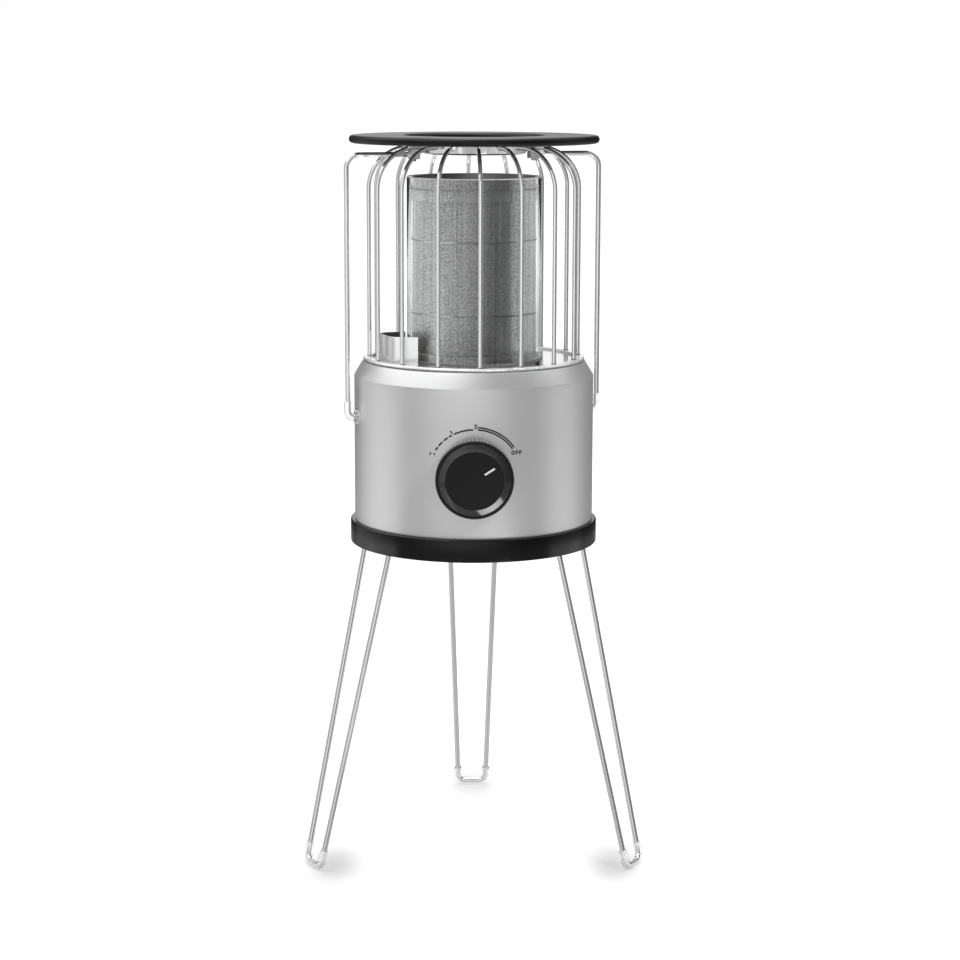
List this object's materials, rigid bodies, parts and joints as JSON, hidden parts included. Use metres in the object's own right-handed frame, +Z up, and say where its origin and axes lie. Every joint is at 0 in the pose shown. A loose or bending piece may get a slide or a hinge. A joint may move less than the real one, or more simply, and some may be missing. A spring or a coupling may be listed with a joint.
{
  "type": "portable propane heater",
  "caption": "Portable gas heater: mesh burner in a glass tube under a wire cage and black top plate, on a silver drum with a turning knob and pull-off wire legs.",
  "frame": {"origin": "middle of the whole heater's footprint, on the floor under the feet; the drum's axis is 16.9 mm ahead of it, at y = -16.9 mm", "axes": "+Z up, -Y to the front, where the knob is, +X to the right as the knob is faced"},
  "size_m": [0.283, 0.2804, 0.6026],
  "materials": {
    "black_plate": "satin black heat-proof enamel, faintly grained",
    "black_base": "satin moulded black",
    "silver_shell": "fine satin silver",
    "polished_steel": "mirror-polished stainless sheet",
    "chrome_wire": "bright nickel-chrome plated wire",
    "zinc_steel": "zinc-plated pressed steel",
    "screws": "plated screw heads",
    "glass": "clear borosilicate glass",
    "gasket": "graphite-filled glass-fibre rope",
    "mesh": "woven heat-resistant wire mesh",
    "burner_metal": "matt stainless, slightly heat-toned",
    "cast_alloy": "die-cast, bead-blasted",
    "brass": "turned brass",
    "copper_pipe": "drawn tube, slightly dulled",
    "ceramic": "glazed white ceramic",
    "red_lead": "silicone insulation",
    "black_plastic": "moulded black",
    "knob_black": "satin black with a polished bevel",
    "knob_face": "fine matt black insert",
    "white_mark": "white inlay",
    "clear_silicone": "translucent milky silicone tube",
    "white_plastic": "natural nylon"
  },
  "bodies": {
    "base": {"base_ring": "black_base", "base_pan": "zinc_steel", "base_pan_screws": "screws", "leg_sockets": "zinc_steel", "body_shell": "silver_shell", "deck_plate": "polished_steel", "cage_rim_hoop": "polished_steel", "cage_wires": "chrome_wire", "cage_top_ring": "polished_steel", "top_plate": "black_plate", "top_plate_screws": "screws", "deflector_dish": "polished_steel", "carrying_wires": "chrome_wire", "carry_clips": "zinc_steel", "carry_clip_screws": "screws", "carry_sleeves": "clear_silicone", "carry_grommets": "clear_silicone", "glass_tube": "glass", "glass_gasket": "gasket", "burner_mesh": "mesh", "mesh_bands": "mesh", "burner_cap": "burner_metal", "distributor_tube": "burner_metal", "burner_base": "cast_alloy", "mixing_tube": "cast_alloy", "main_jet": "brass", "jet_bracket": "zinc_steel", "pilot_shroud": "polished_steel", "pilot_burner": "brass", "pilot_pipe": "copper_pipe", "spark_electrode": "ceramic", "ignition_lead": "red_lead", "thermocouple_tip": "brass", "thermocouple_lead": "copper_pipe", "heat_shield": "polished_steel", "heat_shield_spacers": "zinc_steel", "valve_body": "cast_alloy", "valve_bracket": "zinc_steel", "valve_screws": "screws", "safety_magnet": "brass", "piezo_igniter": "black_plastic", "return_spring": "zinc_steel", "supply_pipe": "copper_pipe", "main_pipe": "copper_pipe", "inlet_fitting": "brass", "inlet_locknut": "zinc_steel", "tip_switch_case": "white_plastic"},
    "push_stage": {"thrust_plate": "zinc_steel"},
    "knob": {"valve_stem": "zinc_steel", "knob_body": "knob_black", "knob_face": "knob_face", "knob_pointer": "white_mark"},
    "gas_plug": {"gas_plug": "brass"},
    "tip_pendulum": {"tip_switch_pendulum": "zinc_steel"},
    "left_leg": {"left_leg": "chrome_wire", "left_foot": "clear_silicone"},
    "right_leg": {"right_leg": "chrome_wire", "right_foot": "clear_silicone"},
    "rear_leg": {"rear_leg": "chrome_wire", "rear_foot": "clear_silicone"}
  },
  "joints": [
    {"name": "knob_push", "type": "slide", "parent": "base", "child": "push_stage", "axis": [0, 1, 0], "range_m": [0, 0.003], "stiffness_N_per_m": 1200, "springref_m": -0.002, "deforming": ["return_spring"]},
    {"name": "knob_turn", "type": "hinge", "parent": "push_stage", "child": "knob", "pos_m": [0, -0.1169, 0.3348], "axis": [0, -1, 0], "range_deg": [0, 114.5]},
    {"name": "plug_turn", "type": "hinge", "parent": "base", "child": "gas_plug", "pos_m": [0, -0.0739, 0.3348], "axis": [0, -1, 0], "range_deg": [0, 114.5]},
    {"name": "tip_swing", "type": "hinge", "parent": "base", "child": "tip_pendulum", "pos_m": [0.053, 0.0041, 0.292], "axis": [0, 1, 0], "range_deg": [-28, 28]},
    {"name": "left_leg_pull", "type": "slide", "parent": "base", "child": "left_leg", "axis": [-0.1978, -0.1142, -0.9736], "range_m": [0, 0.03]},
    {"name": "right_leg_pull", "type": "slide", "parent": "base", "child": "right_leg", "axis": [0.1978, -0.1142, -0.9736], "range_m": [0, 0.03]},
    {"name": "rear_leg_pull", "type": "slide", "parent": "base", "child": "rear_leg", "axis": [0, 0.2284, -0.9736], "range_m": [0, 0.03]}
  ],
  "couplings": [
    {"joint": "plug_turn", "follows": "knob_turn", "ratio": 1}
  ]
}
